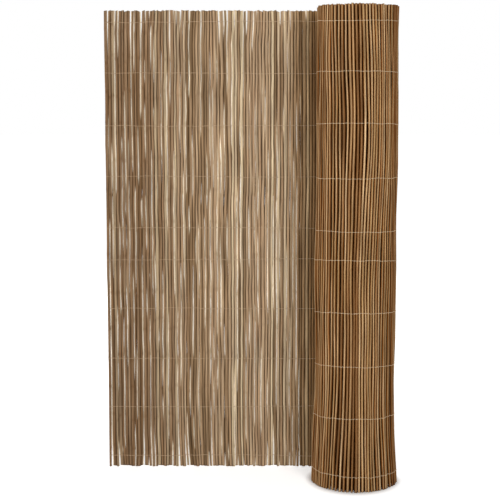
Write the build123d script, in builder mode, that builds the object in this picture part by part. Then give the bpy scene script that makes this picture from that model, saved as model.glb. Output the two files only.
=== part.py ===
"""Willow screening fence, partly unrolled.

The fence is a mat of upright willow rods, held by rows of binding wire on both faces.
Most of it stands as a roll, and a flat run leaves the back of the roll and stands beside it.
+Z is up, the floor is z = 0 and the origin is the middle of the footprint.
Plan positions are worked out from the axis of the roll and then moved to that origin.
"""

import math
import os
import random

from build123d import *

# The mat
fence_height = 1000.0
flat_length = 532.0
mat_depth = 6.0
rod_pitch = 6.9
seam_gap = 0.2

# Rods of the flat run, with the thick end of every second rod at the top
butt_width = 6.9
tip_width = 5.0
width_spread = 0.16
tip_depth_loss = 0.6
rod_stagger = 0.3
rod_bite = 0.4
narrow_gap = 0.8
wide_gap = 2.6
level_count = 4
layout_seed = 14

# Levels at which a pair of neighbouring rods touches, and how common each pattern is
touching_levels = [(0, 3), (1, 2), (0, 2), (1, 3), (0, 1, 2, 3)]
pattern_weights = [30, 14, 22, 22, 12]

# The roll, wound clockwise as seen from above and starting at its back
outer_turn_radius = 86.0
core_radius = 17.0
winding_slack = 0.8
ridge_depth = 1.6
inner_sag = 1.3
foot_flare = 8.5
flare_height = 200.0

# Binding wires, with a closer pair of rows at the middle of the height
wire_size = 1.0
wire_clearance = 0.15
row_margin = 25.0
middle_pair_spacing = 69.0
rows_per_half = 5
wrap_segments = 22

# How much higher each row runs at the front of the roll than along the flat run, top row first
front_rises = [-10.0, 0.0, 6.0, 5.0, 7.0, 20.0, 20.0, 19.0, 19.0, 8.0]

# Worked out from the sizes above
wire_reach = wire_clearance + wire_size
turn_pitch = mat_depth + 2 * wire_reach + winding_slack
half_depth = mat_depth / 2
right_reach = outer_turn_radius - turn_pitch / 4 + half_depth + foot_flare
front_reach = outer_turn_radius - turn_pitch / 2 + half_depth + wire_reach
back_reach = outer_turn_radius + half_depth + wire_reach
axis_x = (flat_length - right_reach) / 2
axis_y = (front_reach - back_reach) / 2


def turn_radius(angle):
    """Radius of the middle of the mat, at a winding angle in radians from the back of the roll."""
    return outer_turn_radius - turn_pitch * angle / (2 * math.pi)


def roll_point(angle, radius, height):
    """Plan point of the roll, whose sides spread outwards near the foot."""
    spread = 1 + foot_flare / outer_turn_radius * max(0, 1 - height / flare_height)
    return (axis_x + radius * math.sin(angle) * spread, axis_y + radius * math.cos(angle))


def rod_section(middle, width, depth):
    """Six-sided section of a rod, with a corner towards each neighbour."""
    x, y = middle
    return [
        (x - width / 2, y),
        (x - width / 4, y - depth / 2),
        (x + width / 4, y - depth / 2),
        (x + width / 2, y),
        (x + width / 4, y + depth / 2),
        (x - width / 4, y + depth / 2),
    ]


def flat_layout():
    """Sections of each rod of the flat run, one at each level, from the free edge inwards."""
    dice = random.Random(layout_seed)
    rod_count = round(flat_length / rod_pitch)
    last = level_count - 1
    tapers = []
    widths = []
    gaps = []
    for number in range(rod_count):
        taper = [level / last if number % 2 else 1 - level / last for level in range(level_count)]
        thick = dice.uniform(1 - width_spread, 1 + width_spread)
        touching = dice.choices(touching_levels, pattern_weights)[0]
        opening = dice.uniform(narrow_gap, wide_gap)
        tapers.append(taper)
        widths.append([thick * (butt_width + (tip_width - butt_width) * share) for share in taper])
        gaps.append([-rod_bite if level in touching else opening for level in range(level_count)])
    rods = [[] for number in range(rod_count)]
    for level in range(level_count):
        total = sum(width[level] for width in widths) + sum(gap[level] for gap in gaps[:-1])
        fit = (flat_length - seam_gap) / total
        edge = axis_x - flat_length
        for number in range(rod_count):
            width = widths[number][level] * fit
            depth = mat_depth - rod_stagger - tip_depth_loss * tapers[number][level]
            side = 1 if number % 2 else -1
            middle = (edge + width / 2, axis_y + outer_turn_radius + side * rod_stagger / 2)
            rods[number].append(rod_section(middle, width, depth))
            edge += width + gaps[number][level] * fit
    return rods


def roll_outline(height):
    """Outline of the wound mat at a height: ridged rods along the outside, flats along the inside."""
    outside = []
    angle = 0.0
    while turn_radius(angle) > core_radius:
        radius = turn_radius(angle)
        step = rod_pitch / radius
        crest = radius + half_depth
        valley = crest - ridge_depth
        outside.append(roll_point(angle, valley, height))
        if angle < 2 * math.pi:
            outside.append(roll_point(angle + step * 0.25, crest, height))
            outside.append(roll_point(angle + step * 0.75, crest, height))
        else:
            outside.append(roll_point(angle + step / 2, crest, height))
        angle += step
    outside.append(roll_point(angle, turn_radius(angle) + half_depth - ridge_depth, height))
    inside = []
    while angle > 0:
        inner = turn_radius(angle) - half_depth
        inside.append(roll_point(angle, inner, height))
        angle -= 2 * math.acos(1 - inner_sag / inner)
    inside.append(roll_point(0, outer_turn_radius - half_depth, height))
    return outside + inside


def back_wire_line(height, stand_off):
    """Line along the back of the flat run and round the roll, clear of the rods by the stand-off.

    It ends one segment short of a full turn, where the flat run covers it.
    """
    step = 2 * math.pi / wrap_segments
    line = [(axis_x - flat_length, axis_y + outer_turn_radius + half_depth + stand_off)]
    for number in range(wrap_segments - 1):
        reach = turn_radius(number * step) + half_depth + stand_off
        line.append(roll_point((number + 0.5) * step, reach / math.cos(step / 2), height))
    return line


def back_wire_slope(rise):
    """Slope of a back wire's plane, which is level along the flat run and rises to the front of the roll."""
    return rise / (back_reach + front_reach)


def row_heights():
    """Heights of the rows of wire, from the top row down."""
    middle = fence_height / 2
    spacing = (middle - middle_pair_spacing / 2 - row_margin) / (rows_per_half - 1)
    lower = [row_margin + number * spacing for number in range(rows_per_half)]
    upper = [fence_height - height for height in lower]
    return upper + lower[::-1]


os.makedirs("parts", exist_ok=True)

# Flat run: tapering rods that touch here and there, with slits between them
with BuildPart() as flat_run:
    rods = []
    for rod in flat_layout():
        for level, section in enumerate(rod):
            with BuildSketch(Plane.XY.offset(fence_height * level / (level_count - 1))):
                with BuildLine():
                    Polyline(*section, close=True)
                make_face()
        rods.append(loft(ruled=True, mode=Mode.PRIVATE))
    add(rods)
flat_run.part.label = "flat_run"
export_step(flat_run.part, "parts/flat_run.step")

# Roll: the rest of the mat in a spiral, ridged by its rods and wider at the foot
with BuildPart() as roll:
    for height in (0, flare_height, fence_height):
        with BuildSketch(Plane.XY.offset(height)):
            with BuildLine():
                Polyline(*roll_outline(height), close=True)
            make_face()
    loft(ruled=True)
roll.part.label = "roll"
export_step(roll.part, "parts/roll.step")

# Binding wires: one on the front of the flat run and one on the back, round the roll, in each row
back = axis_y + back_reach
for row, (height, rise) in enumerate(zip(row_heights(), front_rises), start=1):
    wire_plane = Plane.XY.offset(height - wire_size / 2)
    slope = back_wire_slope(rise)
    tilted_plane = Plane(origin=(0, back, height - wire_size / 2), x_dir=(1, 0, 0), z_dir=(0, slope, 1))

    with BuildPart() as front_wire:
        with BuildSketch(wire_plane):
            front = axis_y + outer_turn_radius - half_depth - wire_clearance - wire_size / 2
            with Locations((axis_x - flat_length / 2, front)):
                Rectangle(flat_length, wire_size)
        extrude(amount=wire_size)
    front_wire.part.label = f"front_wire_{row:02d}"
    export_step(front_wire.part, f"parts/front_wire_{row:02d}.step")

    with BuildPart() as back_wire:
        with BuildSketch(tilted_plane):
            with BuildLine():
                near = back_wire_line(height, wire_clearance)
                far = back_wire_line(height, wire_reach)
                in_plane = [(x, (y - back) * math.hypot(1, slope)) for x, y in near + far[::-1]]
                Polyline(*in_plane, close=True)
            make_face()
        extrude(amount=wire_size, dir=(0, 0, 1))
    back_wire.part.label = f"back_wire_{row:02d}"
    export_step(back_wire.part, f"parts/back_wire_{row:02d}.step")
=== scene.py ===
# %% [markdown]
# # A willow screening fence, partly unrolled
# The real fence is a mat of thin willow rods, all about as long as the fence is high, tied side by side by
# ten rows of thin wire. Most of it stands as a roll. A flat run leaves the back of the roll and stands
# beside it. The CAD model holds the sizes: one wall for the flat run, one spiral for the roll, and twenty
# plain wires. This lesson makes the rods one by one over those solids, ties them with wire, and gives them
# bark.

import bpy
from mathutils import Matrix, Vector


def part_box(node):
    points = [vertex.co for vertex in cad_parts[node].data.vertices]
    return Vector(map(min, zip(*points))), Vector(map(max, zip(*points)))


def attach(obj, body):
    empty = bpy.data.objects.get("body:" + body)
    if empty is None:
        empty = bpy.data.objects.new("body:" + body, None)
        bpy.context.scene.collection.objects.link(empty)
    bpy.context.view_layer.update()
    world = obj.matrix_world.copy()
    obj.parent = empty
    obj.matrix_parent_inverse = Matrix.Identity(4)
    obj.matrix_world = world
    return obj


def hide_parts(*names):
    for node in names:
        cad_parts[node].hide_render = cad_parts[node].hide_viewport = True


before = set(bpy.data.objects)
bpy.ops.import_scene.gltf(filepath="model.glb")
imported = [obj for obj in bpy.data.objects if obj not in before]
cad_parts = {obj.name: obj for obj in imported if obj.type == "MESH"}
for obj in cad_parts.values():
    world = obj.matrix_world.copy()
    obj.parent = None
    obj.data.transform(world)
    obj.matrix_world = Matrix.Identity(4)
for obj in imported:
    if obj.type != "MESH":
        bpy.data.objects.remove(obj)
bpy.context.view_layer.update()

import math
import random

import bmesh
import bpy
from mathutils import Matrix, Vector, noise

# %% [markdown]
# ## Where the rods stand
# The rods have to stand where the CAD wall and spiral are, so the layout is worked out by the same rules
# and from the same sizes. The flat wall's box gives the free edge, the plane of the mat and the line where
# the roll starts. Widths and slits then come from the same seeded dice. The next step makes narrow, crooked
# slits of them.

# %% Sizes of the mat, in metres
MM = 0.001
SEAM_GAP = 0.2 * MM
MAT_DEPTH = 6.0 * MM
ROD_PITCH = 6.9 * MM
OUTER_TURN_RADIUS = 86.0 * MM
CORE_RADIUS = 17.0 * MM
TURN_PITCH = 9.1 * MM
FOOT_FLARE = 8.5 * MM
FLARE_HEIGHT = 200.0 * MM

flat_low, flat_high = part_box("flat_run")
FENCE_HEIGHT = flat_high.z - flat_low.z
FREE_EDGE = flat_low.x
AXIS_X = flat_high.x + SEAM_GAP
MAT_PLANE = (flat_low.y + flat_high.y) / 2
AXIS_Y = MAT_PLANE - OUTER_TURN_RADIUS
FLAT_LENGTH = AXIS_X - FREE_EDGE
print(f"fence {FENCE_HEIGHT:.3f} m high, flat run {FLAT_LENGTH:.3f} m")
print(f"roll axis at {AXIS_X:.4f}, {AXIS_Y:.4f}")

# %% Sizes of the flat run's rods, as in the solid
BUTT_WIDTH = 6.9 * MM
TIP_WIDTH = 5.0 * MM
WIDTH_SPREAD = 0.16
TIP_DEPTH_LOSS = 0.6 * MM
ROD_STAGGER = 0.3 * MM
ROD_BITE = 0.4 * MM
NARROW_GAP = 0.8 * MM
WIDE_GAP = 2.6 * MM
LEVELS = 4
LAYOUT_SEED = 14
TOUCHING_LEVELS = [(0, 3), (1, 2), (0, 2), (1, 3), (0, 1, 2, 3)]
PATTERN_WEIGHTS = [30, 14, 22, 22, 12]


def flat_sections():
    """Middle and width of each flat rod at each level, from the free edge inwards."""
    dice = random.Random(LAYOUT_SEED)
    count = round(FLAT_LENGTH / ROD_PITCH)
    last = LEVELS - 1
    widths = []
    gaps = []
    for number in range(count):
        taper = [level / last if number % 2 else 1 - level / last for level in range(LEVELS)]
        thick = dice.uniform(1 - WIDTH_SPREAD, 1 + WIDTH_SPREAD)
        touching = dice.choices(TOUCHING_LEVELS, PATTERN_WEIGHTS)[0]
        opening = dice.uniform(NARROW_GAP, WIDE_GAP)
        widths.append([thick * (BUTT_WIDTH + (TIP_WIDTH - BUTT_WIDTH) * share) for share in taper])
        gaps.append([-ROD_BITE if level in touching else opening for level in range(LEVELS)])
    sections = [[] for number in range(count)]
    for level in range(LEVELS):
        total = sum(width[level] for width in widths) + sum(gap[level] for gap in gaps[:-1])
        fit = (FLAT_LENGTH - SEAM_GAP) / total
        edge = FREE_EDGE
        for number in range(count):
            width = widths[number][level] * fit
            sections[number].append((edge + width / 2, width))
            edge += width + gaps[number][level] * fit
    return sections


flat_plan = flat_sections()
print("flat rods:", len(flat_plan))

# %% [markdown]
# ## Slits that open and close
# Between two rods of the flat run there is now and then a slit. In the solid it is long and straight. On
# the real mat the rods are crooked, so a slit opens and closes on its way. The layout could bend each rod
# by itself and then push crossing rods apart, but that leaves slits in clusters. So it goes from slit to
# slit instead: each takes a share of its width in the solid, a slow wave of its own, and the bows of the
# two rods beside it, livelier towards the free edge. All are then moved by one amount, so that the row of
# rods and slits fills the length of the mat. The two ends splay a little beyond the outermost ties, which
# opens notches there.

# %% Slits of the flat run
FINE_LEVELS = 80
OVERLAP = 0.9 * MM
WIDEST_SLIT = 0.26 * MM
SOLID_SHARE = 0.35
SLIT_WAVE = 1.2 * MM
SLIT_WAVE_LENGTH = 0.35
BOWS = ((2.6 * MM, 0.3), (1.4 * MM, 0.12), (0.5 * MM, 0.05))
CALM = 0.28
EDGE_BOW = 2.2 * MM
EDGE_BOW_LENGTH = 0.17
SPLAY = 5.0 * MM
SPLAY_REACH = 0.07
SPLAY_CURVE = 1.5
NOTCH = 2.6 * MM
FULLNESS = 1.12
END_LOSS = 0.07
FITTING_TURNS = 30


def between_levels(values, share):
    """A value read between evenly spaced levels, at a share of the height."""
    position = min(max(share, 0.0), 1.0) * (len(values) - 1)
    lower = min(int(position), len(values) - 2)
    return values[lower] + (values[lower + 1] - values[lower]) * (position - lower)


def fitted(slits, room, widest):
    """Slits moved by one amount and held between an overlap and the widest slit, to fill the room."""
    low, high = -FLAT_LENGTH, FLAT_LENGTH
    for turn in range(FITTING_TURNS):
        move = (low + high) / 2
        moved = [min(max(slit + move, -OVERLAP), widest) for slit in slits]
        if sum(moved) < room:
            low = move
        else:
            high = move
    return moved


def bow(number, rise):
    """How far a flat rod bows sideways at a height."""
    return sum(size * noise.noise(Vector((number * 3.1 + 0.5, rise / length, 8.0 + 7 * layer)))
               for layer, (size, length) in enumerate(BOWS))


def slit_wish(number, share, freed):
    """Width that the slit after a flat rod would take by itself. Below nothing, the rods press together."""
    rise = share * FENCE_HEIGHT
    (middle, width), (next_middle, next_width) = [
        [between_levels(values, share) for values in zip(*flat_plan[rod])] for rod in (number, number + 1)
    ]
    wish = SOLID_SHARE * (next_middle - middle - (width + next_width) / 2)
    liveliness = 1 - (1 - CALM) * number / len(flat_plan)
    wave = SLIT_WAVE * noise.noise(Vector((number * 3.1 + 0.5, rise / SLIT_WAVE_LENGTH, 50.0)))
    wish += liveliness * (wave + bow(number + 1, rise) - bow(number, rise))
    end = 0.3 if share < 0.5 else 0.7
    return wish + SPLAY * freed ** SPLAY_CURVE * noise.noise(Vector((number * 2.3 + end, end, 30.0)))


def fine_sections():
    """Middle and width of each flat rod at many levels, as two lists of lists, rod by rod."""
    count = len(flat_plan)
    middles = [[] for number in range(count)]
    widths = [[] for number in range(count)]
    for step in range(FINE_LEVELS + 1):
        share = step / FINE_LEVELS
        rise = share * FENCE_HEIGHT
        freed = max(0.0, 1 - min(rise, FENCE_HEIGHT - rise) / SPLAY_REACH)
        fullness = FULLNESS - END_LOSS * freed
        thick = [fullness * between_levels([width for middle, width in plan], share) for plan in flat_plan]
        edge = FREE_EDGE + EDGE_BOW * abs(noise.noise(Vector((0.4, rise / EDGE_BOW_LENGTH, 21.0))))
        room = AXIS_X - SEAM_GAP - edge - sum(thick)
        wishes = [slit_wish(number, share, freed) for number in range(count - 1)]
        slits = fitted(wishes, room, WIDEST_SLIT + NOTCH * freed)
        for number, slit in enumerate(slits + [0.0]):
            middles[number].append(edge + thick[number] / 2)
            widths[number].append(thick[number])
            edge += thick[number] + slit
    return middles, widths


def slit_width(number, share):
    """Width of the slit between a flat rod and the next one, at a share of the height."""
    apart = between_levels(flat_middles[number + 1], share) - between_levels(flat_middles[number], share)
    thick = between_levels(flat_widths[number + 1], share) + between_levels(flat_widths[number], share)
    return apart - thick / 2


flat_middles, flat_widths = fine_sections()
slits = [slit_width(number, 0.5) for number in range(len(flat_plan) - 1)]
open_share = sum(slit for slit in slits if slit > 0) / FLAT_LENGTH
print(f"at half height the widest slit is {max(slits) / MM:.1f} mm and {open_share:.0%} of the mat is open")

# %% [markdown]
# ## A rod of the flat run
# A rod bows between its ties, kinks a little at each bud, and tapers from the butt to the tip. The class
# below answers one question: where is this rod at a given height, which way do its neighbours and the outer
# face of the mat lie, and how thick is it there? The mesh and the wires both ask it, so the wires always
# sit on the rods.

# %% Flat rods
FLAT_FOOT_GAP = 3.0 * MM
FLAT_TOP_LOSS = 2.5 * MM
HALF_DEPTH_SHARE = 0.46
EDGE_SHADE = 0.64
ROD_SHADE = 0.15
DARK_EDGE_REACH = 0.2
# edge tones: painted light along open slits, painted crease shade where rods overlap, and a random noise
EDGE_CONTRAST = 1.2
EDGE_LENGTH = 0.08
PALE_SLIT = 0.3 * MM
SHADED_SIDE = 0.2
# painted shadow of the roll on the flat rods beside it, and how far it reaches
PAINTED_ROLL_SHADOW = 0.22
PAINTED_ROLL_SHADOW_REACH = 0.09


class FlatRod:
    """One rod of the flat run. Its outer face is the back of the mat."""

    def __init__(self, number):
        self.number = number
        self.dice = random.Random(100 + number)
        self.middles = flat_middles[number]
        self.widths = flat_widths[number]
        self.butt_down = number % 2 == 0
        self.side = 1 if number % 2 else -1
        self.foot = self.dice.uniform(0, FLAT_FOOT_GAP)
        self.top = FENCE_HEIGHT - self.dice.uniform(0, FLAT_TOP_LOSS)
        from_edge = (self.middles[0] - FREE_EDGE) / DARK_EDGE_REACH
        self.shade = EDGE_SHADE * max(0.0, 1 - from_edge) ** 0.5 + self.dice.uniform(0, ROD_SHADE)
        # painted shadow: rods close to the roll are darkened, as if the roll shaded them
        from_roll = (AXIS_X - OUTER_TURN_RADIUS - self.middles[0]) / PAINTED_ROLL_SHADOW_REACH
        self.shade += PAINTED_ROLL_SHADOW * min(1.0, max(0.0, 1 - from_roll))

    def at(self, height):
        """Centre, direction across, outward direction, half width and half depth at a height."""
        share = height / FENCE_HEIGHT
        width = between_levels(self.widths, share)
        tip = share if self.butt_down else 1 - share
        depth = MAT_DEPTH - ROD_STAGGER - TIP_DEPTH_LOSS * tip
        staggered = MAT_PLANE + self.side * ROD_STAGGER / 2
        centre = Vector((between_levels(self.middles, share), staggered, height))
        return centre, Vector((1, 0, 0)), Vector((0, 1, 0)), width / 2, depth * HALF_DEPTH_SHARE

    def edge_tone(self, pair, height):
        """How pale, up to 1, or dark, down to -1, this rod is along the line where two rods meet.

        Along a slit, one of the two is painted paler than the other, as its lit edge. An open slit adds
        painted light coming through it, and an overlap painted crease shade.
        """
        if pair < 0 or pair > len(flat_middles) - 2:
            return 0.0
        tone = EDGE_CONTRAST * noise.noise(Vector((pair * 2.7 + 0.3, height / EDGE_LENGTH, 41.0)))
        # an open slit adds painted light, as if light came through it
        tone += slit_width(pair, height / FENCE_HEIGHT) / PALE_SLIT
        # one of the two edges along a slit is painted as lit, the other as in shade
        lit_edge = self.number == pair + random.Random(pair).randint(0, 1)
        return max(tone, -1.0) if tone < 0 else min(tone, 1.0) * (1 if lit_edge else SHADED_SIDE)

    def edges(self, height):
        """The tones of the rod's edges towards the next rod and towards the one before."""
        return self.edge_tone(self.number, height), self.edge_tone(self.number - 1, height)


flat_rods = [FlatRod(number) for number in range(len(flat_plan))]
print("first flat rod at half height:", flat_rods[0].at(FENCE_HEIGHT / 2)[0])

# %% [markdown]
# ## A rod of the roll
# The mat is wound clockwise, seen from above, from the back of the roll inwards. Along the spiral the rods
# keep their pitch. Inside the roll the wires are slack, so neighbouring rods lean together to one side and
# then the other: a smooth noise over the turn and the height moves them, which keeps them from crossing.
# Near the foot the sides spread outwards.

# %% Roll rods
LEAN = 12.0 * MM
LEAN_RUN = 95.0 * MM
LEAN_RISE = 0.38
DRIFT = 2.0 * MM
DRIFT_RUN = 16.0 * MM
DRIFT_RISE = 0.14
SET_BACK = 2.8 * MM
BULGE = 2.6 * MM
ROLL_ROD_WIDTHS = (4.3 * MM, 5.5 * MM)
OUTER_SHADE = 0.2
# painted shade on the rods deep inside the roll, seen through the gaps
DEEP_PAINTED_SHADE = 0.7
ROLL_SHIFT = 0.5 * MM
ROLL_FOOT_GAP = 0.4 * MM
ROLL_TOP_LOSS = 2.2 * MM
BULGE_TURN = 0.6
BULGE_RISE = 0.2
FLARE_CURVE = 1.5
BUTT_SHARE = 1.1
TAPER = 0.2


def turn_radius(angle):
    """Radius of the middle of the mat at a winding angle from the back of the roll."""
    return OUTER_TURN_RADIUS - TURN_PITCH * angle / (2 * math.pi)


class RollRod:
    """One rod of the roll, at its winding angle. Its outer face looks away from the axis."""

    def __init__(self, number, angle, along):
        self.dice = random.Random(5000 + number)
        self.angle = angle
        self.along = along
        self.outer_turn = angle < 2 * math.pi
        self.butt_down = number % 2 == 0
        self.thickness = self.dice.uniform(*ROLL_ROD_WIDTHS)
        self.shift = self.dice.uniform(-ROLL_SHIFT, ROLL_SHIFT)
        self.shade = self.dice.uniform(0, OUTER_SHADE) if self.outer_turn else DEEP_PAINTED_SHADE
        self.foot = self.dice.uniform(0, ROLL_FOOT_GAP)
        self.top = FENCE_HEIGHT - self.dice.uniform(0, ROLL_TOP_LOSS)

    def at(self, height):
        """Centre, direction across, outward direction, half width and half depth at a height."""
        radius = turn_radius(self.angle)
        lean = LEAN * noise.noise(Vector((self.along / LEAN_RUN, height / LEAN_RISE, 0.37)))
        drift = DRIFT * noise.noise(Vector((self.along / DRIFT_RUN, height / DRIFT_RISE, 6.1)))
        held = min(1.0, self.along / LEAN_RUN)
        angle = self.angle + ((lean + drift) * held + self.shift) / radius
        radius += SET_BACK * noise.noise(Vector((self.along / MM, height / DRIFT_RISE, 14.2)))
        turned = self.angle % (2 * math.pi)
        radius += BULGE * held * noise.noise(Vector((turned * BULGE_TURN, height / BULGE_RISE, 18.4)))
        outward = Vector((math.sin(angle), math.cos(angle), 0))
        across = Vector((math.cos(angle), -math.sin(angle), 0))
        flare = max(0, 1 - height / FLARE_HEIGHT) ** FLARE_CURVE
        spread = 1 + FOOT_FLARE / OUTER_TURN_RADIUS * flare
        x = AXIS_X + radius * outward.x * spread
        y = AXIS_Y + radius * outward.y
        tip = height / FENCE_HEIGHT if self.butt_down else 1 - height / FENCE_HEIGHT
        half = self.thickness * (BUTT_SHARE - TAPER * tip) / 2
        return Vector((x, y, height)), across, outward, half, half

    def edges(self, height):
        """Both edges of a rod in the roll get the full painted crease shade, as dark as the grooves between
        the rods.
        """
        return -1.0, -1.0


roll_rods = []
winding = 0.0
run = 0.0
while turn_radius(winding) > CORE_RADIUS:
    step = ROD_PITCH / turn_radius(winding)
    roll_rods.append(RollRod(len(roll_rods), winding + step / 2, run))
    winding += step
    run += ROD_PITCH
outer_rods = [rod for rod in roll_rods if rod.outer_turn]
print("rods in the roll:", len(roll_rods), "of them in the outer turn:", len(outer_rods))

# %% [markdown]
# ## The rod blank
# All rods start from one straight blank: a circle extruded ring by ring, with its two ends capped. The
# blank's rings are numbered by their height, so bending a rod is only a matter of asking where ring seven,
# say, should go. Rods in plain sight have three rings at each bud, for its swelling. Rods deep in the roll,
# of which there are hundreds, have a few rings only.

# %% Blanks
BARK_SLOT = 0
CUT_SLOT = 1


def rod_blank(name, sides, rings):
    """A capped tube of unit radius, whose rings stand at heights 0, 1, 2 and so on."""
    bm = bmesh.new()
    bmesh.ops.create_circle(bm, cap_ends=True, segments=sides, radius=1.0)
    bottom = bm.faces[:]
    bmesh.ops.reverse_faces(bm, faces=bottom)
    edges = bm.edges[:]
    for ring in range(rings - 1):
        grown = bmesh.ops.extrude_edge_only(bm, edges=edges)["geom"]
        edges = [part for part in grown if isinstance(part, bmesh.types.BMEdge)]
        verts = [part for part in grown if isinstance(part, bmesh.types.BMVert)]
        bmesh.ops.translate(bm, verts=verts, vec=(0, 0, 1))
        edges = [edge for edge in edges if all(vert in verts for vert in edge.verts)]
    lid = bmesh.ops.contextual_create(bm, geom=edges)["faces"]
    bmesh.ops.recalc_face_normals(bm, faces=bm.faces)
    for face in bm.faces:
        face.smooth = len(face.verts) == 4
        face.material_index = CUT_SLOT if face in bottom or face in lid else BARK_SLOT
    end_map = bm.loops.layers.uv.new("end_grain")
    for face in bm.faces:
        for loop in face.loops:
            loop[end_map].uv = (0.5 + 0.5 * loop.vert.co.x, 0.5 + 0.5 * loop.vert.co.y)
    mesh = bpy.data.meshes.new(name)
    bm.to_mesh(mesh)
    bm.free()
    mesh.attributes.new("rod", "FLOAT_VECTOR", "POINT")
    mesh.attributes.new("edge", "FLOAT_VECTOR", "POINT")
    print(name, "has", len(mesh.polygons), "faces")
    return mesh


BUDS = 14
RINGS_PER_BUD = 4
NEAR_SIDES = 8
DEEP_SIDES = 6
DEEP_RINGS = 7
near_blank = rod_blank("near_rod_blank", NEAR_SIDES, BUDS * RINGS_PER_BUD + 3)
deep_blank = rod_blank("deep_rod_blank", DEEP_SIDES, DEEP_RINGS)

# %% [markdown]
# ## Bending the blanks
# Each rod gets a copy of the blank, and every ring moves to its place on the rod. At a bud the rod swells on
# one side and kinks a little. The cut ends slant, because they were clipped by hand. Two sets of numbers are
# stored on every point for the bark. The first says which colour this rod leans to, how far round the point
# is from the inner face of the mat to its outer face, and how dark the bark is there: a random tone, darker
# at the buds and towards the free edge, with painted shade on the rods deep in the roll and a painted shadow
# on the flat rods beside it. The second says how far the point is across the rod, and how pale or dark the
# rod's two edges are at this height, which holds painted light along the slits and painted crease shade
# between pressed rods.

# %% Bend and join rods
END_COLLAR = 4.0 * MM
BUD_REACH = 6.0 * MM
BUD_SWELL = 0.13
BUD_KINK = 0.28 * MM
BUD_SHADE = 1.2
CUT_SLANT = 0.35
FOOT_SLANT = 0.25


def bud_rings(rod):
    """Ring heights of a rod in plain sight, each with its swelling and its sideways kink."""
    length = rod.top - rod.foot
    rings = [(rod.foot, 0.0, 0.0), (rod.foot + END_COLLAR, 0.0, 0.0)]
    for bud in range(BUDS):
        middle = rod.foot + length * (bud + rod.dice.uniform(0.3, 0.7)) / BUDS
        swell = BUD_SWELL * rod.dice.uniform(0.3, 1.0)
        kink = BUD_KINK * rod.dice.choice((-1, 1)) * rod.dice.uniform(0.3, 1.0)
        rings.append((middle - BUD_REACH, 0.1 * swell, 0.2 * kink))
        rings.append((middle, swell, kink))
        rings.append((middle + BUD_REACH, 0.2 * swell, 0.5 * kink))
        if bud < BUDS - 1:
            rings.append((rod.foot + length * (bud + 1) / BUDS, 0.0, -0.2 * kink))
    rings.append((rod.top - END_COLLAR, 0.0, 0.0))
    rings.append((rod.top, 0.0, 0.0))
    return rings


def plain_rings(rod):
    """Evenly spaced ring heights for a rod deep in the roll."""
    length = rod.top - rod.foot
    return [(rod.foot + length * ring / (DEEP_RINGS - 1), 0.0, 0.0) for ring in range(DEEP_RINGS)]


def bend_blank(bm, blank, rod, rings):
    """Adds a copy of the blank to the mesh and bends it along the rod."""
    first = len(bm.verts)
    bm.from_mesh(blank)
    bm.verts.ensure_lookup_table()
    store = bm.verts.layers.float_vector["rod"]
    edge = bm.verts.layers.float_vector["edge"]
    tint = rod.dice.random()
    slant = rod.dice.uniform(-CUT_SLANT, CUT_SLANT)
    places = [rod.at(height) for height, swell, kink in rings]
    tones = [rod.edges(height) for height, swell, kink in rings]
    for vert in bm.verts[first:]:
        ring = round(vert.co.z)
        aside, away = vert.co.x, vert.co.y
        centre, across, outward, half_width, half_depth = places[ring]
        height, swell, kink = rings[ring]
        swollen = 1 + swell * (0.6 + 0.4 * aside)
        place = centre + across * (aside * half_width * swollen + kink)
        place += outward * (away * half_depth * swollen)
        if ring == len(rings) - 1:
            place.z -= abs(slant) * half_width + slant * aside * half_width
        if ring == 0:
            place.z += FOOT_SLANT * (abs(slant) + slant * aside) * half_width
        vert.co = place
        vert[store] = (tint, away, min(1.0, rod.shade + BUD_SHADE * swell))
        vert[edge] = (aside, *tones[ring])


def join_rods(name, parts):
    """One object out of many rods, each given as a rod, its blank and its rings."""
    bm = bmesh.new()
    for rod, blank, rings in parts:
        bend_blank(bm, blank, rod, rings)
    mesh = bpy.data.meshes.new(name)
    bm.to_mesh(mesh)
    bm.free()
    piece = bpy.data.objects.new(name, mesh)
    bpy.context.scene.collection.objects.link(piece)
    triangles = sum(len(face.vertices) - 2 for face in mesh.polygons)
    print(name, "rods:", len(parts), "triangles:", triangles)
    return piece


flat_piece = join_rods("flat_rods", [(rod, near_blank, bud_rings(rod)) for rod in flat_rods])
roll_parts = [(rod, near_blank, bud_rings(rod)) for rod in outer_rods]
roll_parts += [(rod, deep_blank, plain_rings(rod)) for rod in roll_rods if not rod.outer_turn]
roll_piece = join_rods("roll_rods", roll_parts)
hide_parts("flat_run")
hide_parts("roll")

# %% [markdown]
# ## The binding wires
# Each row is two thin wires, one on each face. Over a rod a wire lies on the bark, and between two rods the
# pair crosses, one above the other, which is what holds the rods. A curve with a round bevel is the natural
# tool: it needs only the points where the wire touches, and it becomes a mesh at the end. The front wire
# ends where the roll starts. The back wire goes on round the outside of the roll.

# %% Wires
WIRE_RADIUS = 0.42 * MM
SHOULDER = math.radians(52)
ROW_WAVE = 4.0 * MM
ROW_RIPPLE = 1.6 * MM
ROW_WAVE_STEP = 0.021
ROW_RIPPLE_STEP = 0.23
COVERED_RODS = 5
ROWS = 10


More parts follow.
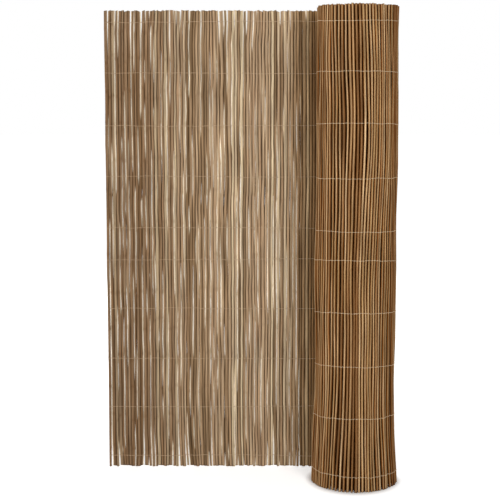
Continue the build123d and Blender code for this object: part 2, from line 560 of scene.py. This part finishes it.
def wire_points(rods, height, rise, face, row):
    """Points where a wire touches the rods, over each rod on one face and crossing between rods."""
    points = []
    for number, rod in enumerate(rods):
        level = height + rise * (MAT_PLANE - rod.at(height)[0].y) / (2 * OUTER_TURN_RADIUS)
        level += ROW_WAVE * noise.noise(Vector((number * ROW_WAVE_STEP, row * 3.7, 0.5)))
        level += ROW_RIPPLE * noise.noise(Vector((number * ROW_RIPPLE_STEP, row * 3.7, 5.5)))
        centre, across, outward, half_width, half_depth = rod.at(level)
        for turn in (-SHOULDER, 0, SHOULDER):
            sideways = across * math.sin(turn) * (half_width + WIRE_RADIUS)
            over = outward * face * math.cos(turn) * (half_depth + WIRE_RADIUS)
            points.append(centre + sideways + over)
        if number < len(rods) - 1:
            following = rods[number + 1].at(level)[0]
            crossing = (centre + following) / 2
            crossing.z = level + WIRE_RADIUS * (1 if number % 2 else -1) * face
            points.append(crossing)
    return points


def wire_piece(name, points):
    """A round wire through the points, as a mesh."""
    curve = bpy.data.curves.new(name + "_line", "CURVE")
    curve.dimensions = "3D"
    curve.bevel_depth = WIRE_RADIUS
    curve.bevel_resolution = 0
    curve.resolution_u = 2
    curve.use_fill_caps = True
    spline = curve.splines.new("BEZIER")
    spline.bezier_points.add(len(points) - 1)
    for bend, point in zip(spline.bezier_points, points):
        bend.co = point
        bend.handle_left_type = "AUTO"
        bend.handle_right_type = "AUTO"
    line = bpy.data.objects.new(name + "_line", curve)
    mesh = bpy.data.meshes.new_from_object(line)
    mesh.name = name
    bpy.data.objects.remove(line)
    piece = bpy.data.objects.new(name, mesh)
    bpy.context.scene.collection.objects.link(piece)
    return piece


wire_pieces = []
for row in range(1, ROWS + 1):
    front_low, front_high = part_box(f"front_wire_{row:02d}")
    back_low, back_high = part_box(f"back_wire_{row:02d}")
    height = (front_low.z + front_high.z) / 2
    rise = (back_high.z - front_high.z) - (front_low.z - back_low.z)
    front = wire_piece(f"front_tie_{row:02d}", wire_points(flat_rods, height, 0.0, -1, row))
    wrapped = flat_rods + outer_rods[:-COVERED_RODS]
    back = wire_piece(f"back_tie_{row:02d}", wire_points(wrapped, height, rise, 1, row))
    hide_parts(f"front_wire_{row:02d}")
    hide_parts(f"back_wire_{row:02d}")
    wire_pieces += [front, back]
print("wires:", len(wire_pieces), "triangles in the last:",
      sum(len(face.vertices) - 2 for face in wire_pieces[-1].data.polygons))

# %% [markdown]
# ## Bark, cut wood and wire
# Willow bark is thin and smooth, from straw to red brown and grey, with fine streaks along the rod. The
# streaks are a noise that is stretched along the rods' direction. Two finishes share it, so it is a node
# group. A second group makes slow patches of weather, for the bark and for the wire.

# %% Shared node groups


def linear(red, green, blue):
    """A screen colour, 0 to 255, as the linear colour that a shader takes."""
    values = [channel / 255 for channel in (red, green, blue)]
    return tuple(v / 12.92 if v <= 0.04045 else ((v + 0.055) / 1.055) ** 2.4 for v in values) + (1.0,)


def new_group(name, inputs, outputs):
    """An empty shader node group with float inputs and outputs."""
    group = bpy.data.node_groups.new(name, "ShaderNodeTree")
    for label, value in inputs:
        socket = group.interface.new_socket(name=label, in_out="INPUT", socket_type="NodeSocketFloat")
        socket.default_value = value
    for label in outputs:
        group.interface.new_socket(name=label, in_out="OUTPUT", socket_type="NodeSocketFloat")
    return group


def add_node(tree, kind, **settings):
    """A node with its plain properties set."""
    made = tree.nodes.new(kind)
    for label, value in settings.items():
        setattr(made, label, value)
    return made


def stretched_noise(tree, across, along, detail, seed):
    """A noise on Object coordinates, with its own grain size across and along the rods."""
    place = add_node(tree, "ShaderNodeTexCoord")
    mapping = add_node(tree, "ShaderNodeMapping")
    mapping.inputs["Scale"].default_value = (1 / across, 1 / across, 1 / along)
    mapping.inputs["Location"].default_value = (seed, seed * 0.7, seed * 1.3)
    texture = add_node(tree, "ShaderNodeTexNoise")
    texture.inputs["Scale"].default_value = 1.0
    texture.inputs["Detail"].default_value = detail
    tree.links.new(place.outputs["Object"], mapping.inputs["Vector"])
    tree.links.new(mapping.outputs["Vector"], texture.inputs["Vector"])
    return texture.outputs["Fac"]


def ranged(tree, value, low, high, to_low=0.0, to_high=1.0):
    """A value taken from one range to another, and held at its ends."""
    node = add_node(tree, "ShaderNodeMapRange")
    for label, number in (("From Min", low), ("From Max", high), ("To Min", to_low), ("To Max", to_high)):
        node.inputs[label].default_value = number
    tree.links.new(value, node.inputs["Value"])
    return node.outputs["Result"]


def combined(tree, operation, first, second):
    """Two values put together by a maths node. The second may be a plain number."""
    node = add_node(tree, "ShaderNodeMath", operation=operation)
    tree.links.new(first, node.inputs[0])
    if isinstance(second, bpy.types.NodeSocket):
        tree.links.new(second, node.inputs[1])
    else:
        node.inputs[1].default_value = second
    return node.outputs["Value"]


STREAK_WIDTH = 1.9 * MM
STREAK_LENGTH = 110 * MM
PATCH_WIDTH = 7 * MM
PATCH_LENGTH = 200 * MM

streak_group = new_group("Streaks along the rod", [("Contrast", 1.0)], ["Streak"])
tree = streak_group
entry = add_node(tree, "NodeGroupInput")
leave = add_node(tree, "NodeGroupOutput")
fine = ranged(tree, stretched_noise(tree, STREAK_WIDTH, STREAK_LENGTH, 2.0, 3.1), 0.3, 0.7)
streak = combined(tree, "MULTIPLY", combined(tree, "SUBTRACT", fine, 0.5), entry.outputs["Contrast"])
tree.links.new(streak, leave.inputs["Streak"])

patch_group = new_group("Patches of weather", [("Amount", 1.0)], ["Patch"])
tree = patch_group
entry = add_node(tree, "NodeGroupInput")
leave = add_node(tree, "NodeGroupOutput")
slow = ranged(tree, stretched_noise(tree, PATCH_WIDTH, PATCH_LENGTH, 2.0, 11.7), 0.32, 0.68)
tree.links.new(combined(tree, "MULTIPLY", slow, entry.outputs["Amount"]), leave.inputs["Patch"])
print("groups:", streak_group.name, "and", patch_group.name)

# %% [markdown]
# ## The bark
# Every rod has its own colour, read from a ramp by the number that was stored on it. Patches of weather
# shift it along the rod. The face of the mat that was inside the roll has faded to a greyer beige. Close to
# the roll it is painted as warm as the outer face, as the roll's warm shade there, and the rods there are
# darkened as a painted shadow of the roll. Where two of its rods are pressed together the bark is painted
# dark, as the shade in the crease between them. Along an open slit one rod's edge is painted pale, as the
# light that comes through the slit, and the other less so, as its shaded side; the body beside a pale edge
# is painted a little darker. A noise adds random pale and dark tone along the edges. The outer face has kept
# its warm brown, with painted shade in the grooves between the rods and on the rods deep in the roll. Two
# ramps are mixed by the side that a point is on.

# %% Bark material
INNER_COLOURS = [
    (121, 98, 71), (151, 124, 94), (171, 146, 116), (159, 130, 100), (181, 160, 131), (202, 181, 147),
]
OUTER_COLOURS = [
    (120, 89, 55), (152, 118, 79), (170, 138, 97), (156, 125, 82), (180, 148, 106), (200, 170, 128),
]
# painted light along open slits, and random pale tone; painted crease shade between pressed rods
PALE_EDGE_AND_SLIT_LIGHT_COLOUR = (252, 239, 212)
CREASE_SHADE_COLOUR = (70, 49, 28)
# painted shade: the grooves between the rods of the outer face, and the darker rods deep in the roll seen
# through them
GROOVE_SHADE_COLOUR = (104, 53, 0)
DARK_COLOUR = (96, 50, 0)
FADED_DARK_COLOUR = (88, 57, 27)
STREAK_CONTRAST = 0.85
PATCH_SHIFT = 0.4
EDGE_STARTS = 0.42
EDGE_FULL = 0.95
BESIDE_PALE_SHADE = 0.15
# painted warm shade beside the roll: how far it reaches and how strong it is
WARM_SHADE_REACH = 0.06
WARM_SHADE_SHARE = 0.9


def colour_ramp(tree, colours):
    """A ramp with the colours at even steps."""
    ramp = add_node(tree, "ShaderNodeValToRGB")
    while len(ramp.color_ramp.elements) < len(colours):
        ramp.color_ramp.elements.new(0.5)
    for number, colour in enumerate(colours):
        ramp.color_ramp.elements[number].position = number / (len(colours) - 1)
        ramp.color_ramp.elements[number].color = linear(*colour)
    return ramp


def mix_colours(tree, blend, factor, first, second):
    """A colour mix node. A factor, or a second colour, may be a plain value or a socket."""
    mixer = add_node(tree, "ShaderNodeMix", data_type="RGBA", blend_type=blend)
    for socket, value in ((mixer.inputs[0], factor), (mixer.inputs[6], first), (mixer.inputs[7], second)):
        if isinstance(value, bpy.types.NodeSocket):
            tree.links.new(value, socket)
        else:
            socket.default_value = value
    return mixer.outputs[2]


def painted_warm_shade_share(tree):
    """How far the inner face is painted as warm as the outer one close to the roll, as the roll's warm shade
    there.
    """
    place = add_node(tree, "ShaderNodeTexCoord")
    parts = add_node(tree, "ShaderNodeSeparateXYZ")
    tree.links.new(place.outputs["Object"], parts.inputs["Vector"])
    roll_side = AXIS_X - OUTER_TURN_RADIUS
    return ranged(tree, parts.outputs["X"], roll_side - WARM_SHADE_REACH, roll_side, 0.0, WARM_SHADE_SHARE)


def inner_bark(tree, plain, warm, shade):
    """The faded face of a rod, warmed and darkened close to the roll as painted shade, with painted light
    along an open slit and painted crease shade where it is pressed to its neighbour.
    """
    # painted warm shade: close to the roll the inner face takes the outer face's warmer colour
    plain = mix_colours(tree, "MIX", painted_warm_shade_share(tree), plain, warm)
    # darker by the stored shade: random tone, buds, the free edge, and the painted shadow of the roll
    plain = mix_colours(tree, "MIX", shade, plain, linear(*FADED_DARK_COLOUR))
    stored = add_node(tree, "ShaderNodeAttribute", attribute_name="edge")
    parts = add_node(tree, "ShaderNodeSeparateXYZ")
    tree.links.new(stored.outputs["Vector"], parts.inputs["Vector"])
    towards_next = ranged(tree, parts.outputs["X"], EDGE_STARTS, EDGE_FULL)
    towards_last = ranged(tree, parts.outputs["X"], -EDGE_STARTS, -EDGE_FULL)
    tone = combined(tree, "ADD", combined(tree, "MULTIPLY", towards_next, parts.outputs["Y"]),
                    combined(tree, "MULTIPLY", towards_last, parts.outputs["Z"]))
    body = combined(tree, "SUBTRACT", ranged(tree, towards_next, 0.0, 1.0, 1.0, 0.0), towards_last)
    palest = combined(tree, "MAXIMUM", parts.outputs["Y"], parts.outputs["Z"])
    # painted shade on the rod's body beside a pale edge
    beside = combined(tree, "MULTIPLY", body, ranged(tree, palest, 0.0, 1.0, 0.0, BESIDE_PALE_SHADE))
    shaded = mix_colours(tree, "MIX", beside, plain, linear(*CREASE_SHADE_COLOUR))
    # painted crease shade where two rods overlap
    crease_shaded = mix_colours(tree, "MIX", ranged(tree, tone, 0.0, -0.9), shaded, linear(*CREASE_SHADE_COLOUR))
    # painted light along an open slit, and random pale tone along the edges
    return mix_colours(tree, "MIX", ranged(tree, tone, 0.0, 0.9), crease_shaded, linear(*PALE_EDGE_AND_SLIT_LIGHT_COLOUR))


def bark_material():
    """Willow bark, coloured rod by rod."""
    material = bpy.data.materials.new("willow_bark")
    material.use_nodes = True
    tree = material.node_tree
    shader = tree.nodes["Principled BSDF"]
    stored = add_node(tree, "ShaderNodeAttribute", attribute_name="rod")
    parts = add_node(tree, "ShaderNodeSeparateXYZ")
    tree.links.new(stored.outputs["Vector"], parts.inputs["Vector"])
    patch = add_node(tree, "ShaderNodeGroup", node_tree=patch_group)
    patch.inputs["Amount"].default_value = PATCH_SHIFT
    shifted = combined(tree, "ADD", parts.outputs["X"], patch.outputs["Patch"])
    tint = combined(tree, "SUBTRACT", shifted, PATCH_SHIFT / 2)
    inner = colour_ramp(tree, INNER_COLOURS)
    outer = colour_ramp(tree, OUTER_COLOURS)
    tree.links.new(tint, inner.inputs["Fac"])
    tree.links.new(tint, outer.inputs["Fac"])
    side = parts.outputs["Y"]
    shade = parts.outputs["Z"]
    faded = inner_bark(tree, inner.outputs["Color"], outer.outputs["Color"], shade)
    # painted shade in the grooves: the outer face darkens away from each rod's crest
    crest = ranged(tree, side, 0.45, 0.97)
    groove_shaded = mix_colours(tree, "MIX", crest, linear(*GROOVE_SHADE_COLOUR), outer.outputs["Color"])
    # darker by the stored shade: painted shade on the rods deep in the roll, with random tone and bud marks
    warm = mix_colours(tree, "MIX", shade, groove_shaded, linear(*DARK_COLOUR))
    base = mix_colours(tree, "MIX", ranged(tree, side, -0.1, 0.15), faded, warm)
    streaks = add_node(tree, "ShaderNodeGroup", node_tree=streak_group)
    streaks.inputs["Contrast"].default_value = STREAK_CONTRAST
    brightness = combined(tree, "ADD", streaks.outputs["Streak"], 1.0)
    streaked = mix_colours(tree, "MULTIPLY", 1.0, base, brightness)
    tree.links.new(streaked, shader.inputs["Base Color"])
    tree.links.new(ranged(tree, patch.outputs["Patch"], 0.0, 0.5, 0.55, 0.8), shader.inputs["Roughness"])
    shader.inputs["Specular IOR Level"].default_value = 0.08
    bump = add_node(tree, "ShaderNodeBump")
    bump.inputs["Strength"].default_value = 0.35
    bump.inputs["Distance"].default_value = 0.4 * MM
    tree.links.new(streaks.outputs["Streak"], bump.inputs["Height"])
    tree.links.new(bump.outputs["Normal"], shader.inputs["Normal"])
    return material


bark = bark_material()
print("material:", bark.name)

# %% [markdown]
# ## The cut ends
# A clipped rod shows pale wood with a small brown pith and a thin dark rim of bark. The end faces carry a
# flat map with the pith at its middle, so the distance from the middle gives the rings. The streaks roughen
# it a little.

# %% Cut wood material


def cut_material():
    """Pale end grain with a pith and a bark rim."""
    material = bpy.data.materials.new("cut_willow")
    material.use_nodes = True
    tree = material.node_tree
    shader = tree.nodes["Principled BSDF"]
    end_map = add_node(tree, "ShaderNodeUVMap", uv_map="end_grain")
    middle = add_node(tree, "ShaderNodeVectorMath", operation="DISTANCE")
    middle.inputs[1].default_value = (0.5, 0.5, 0.0)
    tree.links.new(end_map.outputs["UV"], middle.inputs[0])
    ramp = add_node(tree, "ShaderNodeValToRGB")
    elements = ramp.color_ramp.elements
    for position, colour in ((0.1, (104, 74, 46)), (0.16, (196, 170, 130)), (0.4, (178, 148, 108))):
        elements.new(position).color = linear(*colour)
    elements[0].color = linear(96, 68, 42)
    elements[len(elements) - 1].color = linear(110, 78, 50)
    elements[len(elements) - 1].position = 0.48
    tree.links.new(middle.outputs["Value"], ramp.inputs["Fac"])
    streaks = add_node(tree, "ShaderNodeGroup", node_tree=streak_group)
    streaks.inputs["Contrast"].default_value = 0.3
    brightness = combined(tree, "ADD", streaks.outputs["Streak"], 1.0)
    streaked = mix_colours(tree, "MULTIPLY", 1.0, ramp.outputs["Color"], brightness)
    tree.links.new(streaked, shader.inputs["Base Color"])
    shader.inputs["Roughness"].default_value = 0.8
    return material


cut_wood = cut_material()
for piece in (flat_piece, roll_piece):
    piece.data.materials.append(bark)
    piece.data.materials.append(cut_wood)
print("material:", cut_wood.name)

# %% [markdown]
# ## The wire
# The wire is thin galvanised wire with a pale beige coat, duller in patches. On the front of the flat run,
# which was the inside of the roll, it has taken on some of the colour of the bark.

# %% Wire material


def wire_material(name, bright, dull):
    """Pale coated wire with dull patches."""
    material = bpy.data.materials.new(name)
    material.use_nodes = True
    tree = material.node_tree
    shader = tree.nodes["Principled BSDF"]
    patch = add_node(tree, "ShaderNodeGroup", node_tree=patch_group)
    patch.inputs["Amount"].default_value = 0.8
    colour = mix_colours(tree, "MIX", patch.outputs["Patch"], linear(*bright), linear(*dull))
    tree.links.new(colour, shader.inputs["Base Color"])
    shader.inputs["Metallic"].default_value = 0.15
    shader.inputs["Roughness"].default_value = 0.5
    return material


back_wire = wire_material("back_tie_wire", (226, 202, 168), (194, 166, 128))
front_wire = wire_material("front_tie_wire", (184, 161, 129), (142, 118, 90))
for piece in wire_pieces:
    piece.data.materials.append(front_wire if piece.name.startswith("front") else back_wire)
    piece.data.polygons.foreach_set("use_smooth", [True] * len(piece.data.polygons))
print("materials:", back_wire.name, front_wire.name)

# %% [markdown]
# ## What carries the pieces
# The fence has no moving part, so every piece rides on the one body of the CAD model.

# %% Ride
for piece in (flat_piece, roll_piece):
    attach(piece, "root")
for piece in wire_pieces:
    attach(piece, "root")
print("pieces riding:", 2 + len(wire_pieces))

# %% [markdown]
# ## Stage and light
# A product picture of a fence has a white ground and soft light. The floor is a pale disc that keeps the
# shadow. Where it is seen, or mirrored, it glows a little, so that it meets the white background, but not
# under the roll, and the glow fades in a narrow ring round the roll's foot, which is a painted contact
# shadow. Two large lamps stand in front, one to each side. The roll hides the right one from the end of the
# flat run, which is its soft shadow there. A third lamp behind the mat lights its back, and glows through
# the slits.

# %% Floor, world and lamps
FLOOR_RADIUS = 30.0
GLOW_REACH = (0.5, 2.5)
GLOW = (0.5, 0.9)


def seen_rays(tree):
    """One for a ray from the camera, or by way of a shiny or clear surface, and nothing for the rest."""
    rays = add_node(tree, "ShaderNodeLightPath")
    mirrored = combined(tree, "MAXIMUM", rays.outputs["Is Glossy Ray"], rays.outputs["Is Transmission Ray"])
    return combined(tree, "MAXIMUM", rays.outputs["Is Camera Ray"], mirrored)


def floor_material():
    """Pale floor that the camera sees as nearly white."""
    material = bpy.data.materials.new("pale_floor")
    material.use_nodes = True
    tree = material.node_tree
    shader = tree.nodes["Principled BSDF"]
    shader.inputs["Base Color"].default_value = (0.82, 0.82, 0.82, 1.0)
    shader.inputs["Roughness"].default_value = 0.9
    shader.inputs["Specular IOR Level"].default_value = 0.0
    shader.inputs["Emission Color"].default_value = (1.0, 1.0, 1.0, 1.0)
    place = add_node(tree, "ShaderNodeTexCoord")
    distance = add_node(tree, "ShaderNodeVectorMath", operation="LENGTH")
    tree.links.new(place.outputs["Object"], distance.inputs[0])
    from_roll = add_node(tree, "ShaderNodeVectorMath", operation="DISTANCE")
    from_roll.inputs[1].default_value = (AXIS_X, AXIS_Y, 0.0)
    tree.links.new(place.outputs["Object"], from_roll.inputs[0])
    # no glow under the roll, fading in a ring round its foot: a painted contact shadow on the floor
    outside = ranged(tree, from_roll.outputs["Value"], OUTER_TURN_RADIUS, OUTER_TURN_RADIUS + 2 * FOOT_FLARE)
    glow = ranged(tree, distance.outputs["Value"], *GLOW_REACH, *GLOW)
    seen = combined(tree, "MULTIPLY", seen_rays(tree), combined(tree, "MULTIPLY", glow, outside))
    tree.links.new(seen, shader.inputs["Emission Strength"])
    return material


bm = bmesh.new()
bmesh.ops.create_circle(bm, cap_ends=True, segments=64, radius=FLOOR_RADIUS)
floor_mesh = bpy.data.meshes.new("floor")
bm.to_mesh(floor_mesh)
bm.free()
floor_mesh.materials.append(floor_material())
floor = bpy.data.objects.new("floor", floor_mesh)
bpy.context.scene.collection.objects.link(floor)

AMBIENT = 0.22
world = bpy.data.worlds.new("studio")
world.use_nodes = True
bpy.context.scene.world = world
background = world.node_tree.nodes["Background"]
background.inputs["Color"].default_value = (1.0, 1.0, 1.0, 1.0)
sky = world.node_tree
sky.links.new(ranged(sky, seen_rays(sky), 0.0, 1.0, AMBIENT, 1.0), background.inputs["Strength"])


def soft_lamp(name, place, size, power):
    """A square lamp at a place, aimed at the middle of the fence."""
    lamp = bpy.data.lights.new(name, "AREA")
    lamp.size = size
    lamp.energy = power
    holder = bpy.data.objects.new(name, lamp)
    aim = Vector((0, 0, FENCE_HEIGHT / 2)) - Vector(place)
    holder.matrix_world = Matrix.Translation(place) @ aim.to_track_quat("-Z", "Y").to_matrix().to_4x4()
    bpy.context.scene.collection.objects.link(holder)
    return holder


right_lamp = soft_lamp("right_lamp", (1.2, -2.5, 1.5), size=1.1, power=44.0)
left_lamp = soft_lamp("left_lamp", (-1.5, -2.2, 1.4), size=1.1, power=48.0)
back_lamp = soft_lamp("back_lamp", (-0.5, 2.5, 1.6), size=1.6, power=50.0)
print("lamps:", right_lamp.name, left_lamp.name, back_lamp.name)

# %% [markdown]
# ## Camera
# The photograph was taken from in front of the flat run, a little above the middle of the fence and about
# two and a quarter metres from the roll. The lens is a short telephoto, so the upright edges stay nearly
# parallel.

# %% Camera
CAMERA_PLACE = Vector((AXIS_X - 0.2196, AXIS_Y - 2.2786, 0.7926))
CAMERA_DIP = 0.1022
CAMERA_SHIFT = -0.06
FOCAL_PIXELS = 1094.5
IMAGE_PIXELS = 500
SENSOR = 36.0

camera_data = bpy.data.cameras.new("camera")
camera_data.sensor_width = SENSOR
camera_data.lens = SENSOR * FOCAL_PIXELS / IMAGE_PIXELS
camera_data.shift_y = CAMERA_SHIFT
camera_data.clip_end = 100.0
camera = bpy.data.objects.new("camera", camera_data)
camera.rotation_euler = (math.pi / 2 - CAMERA_DIP, 0, 0)
camera.location = CAMERA_PLACE
bpy.context.scene.collection.objects.link(camera)
bpy.context.scene.camera = camera
bpy.context.scene.view_settings.view_transform = "Standard"
print(f"camera {camera_data.lens:.1f} mm at {tuple(round(v, 3) for v in CAMERA_PLACE)}")
